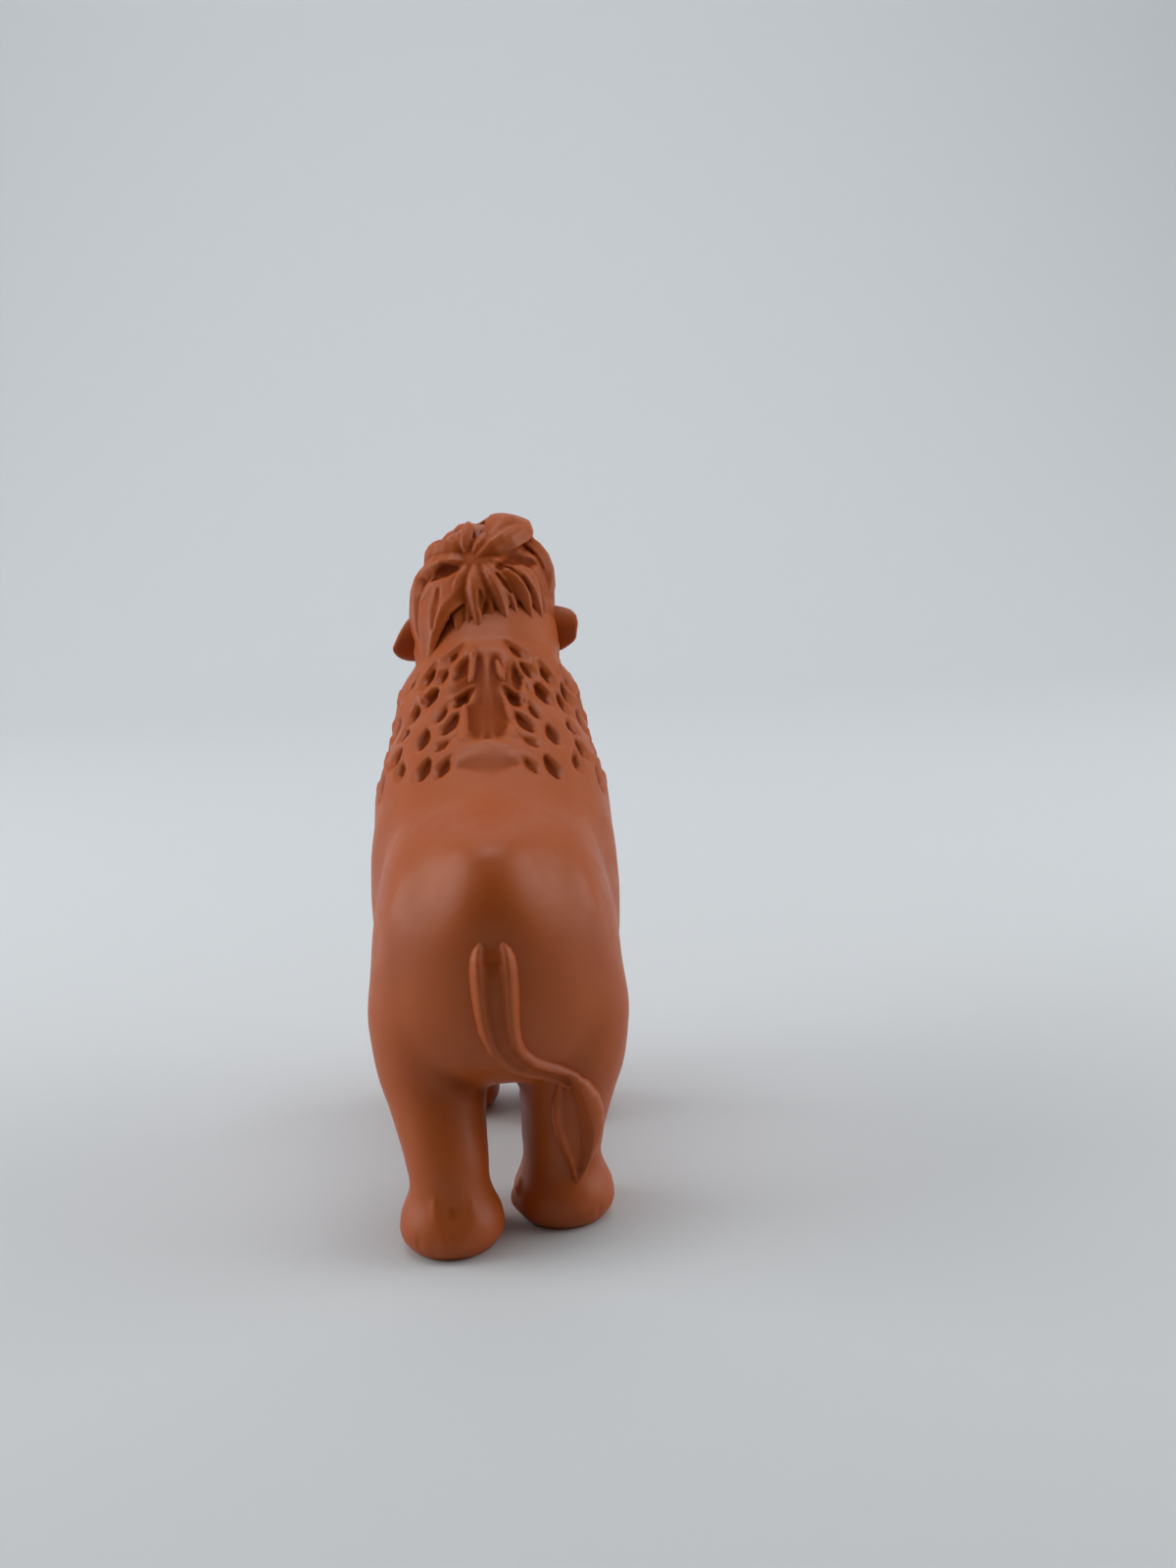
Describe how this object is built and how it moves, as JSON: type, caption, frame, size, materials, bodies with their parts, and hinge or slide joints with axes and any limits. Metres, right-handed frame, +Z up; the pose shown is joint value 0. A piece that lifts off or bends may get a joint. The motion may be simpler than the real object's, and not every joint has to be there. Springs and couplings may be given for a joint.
{
  "type": "toy animal figure",
  "caption": "Small solid vinyl figure of a standing young woolly mammoth with tousled hair, low trunk and tufted tail.",
  "frame": {"origin": "centre of the bounding box in plan, on the plane that the four soles stand on", "axes": "+Z up, +Y the way the head faces, +X the animal's right side"},
  "size_m": [0.0322, 0.0798, 0.0833],
  "materials": {
    "brown_vinyl": "satin moulded",
    "ivory_vinyl": "satin moulded"
  },
  "bodies": {
    "root": {"torso": "brown_vinyl", "head": "brown_vinyl", "hair_tuft": "brown_vinyl", "ear_left": "brown_vinyl", "ear_right": "brown_vinyl", "tail": "brown_vinyl", "leg_front_left": "brown_vinyl", "leg_front_right": "brown_vinyl", "leg_hind_left": "brown_vinyl", "leg_hind_right": "brown_vinyl", "tusk_left": "ivory_vinyl", "tusk_right": "ivory_vinyl"}
  },
  "joints": []
}
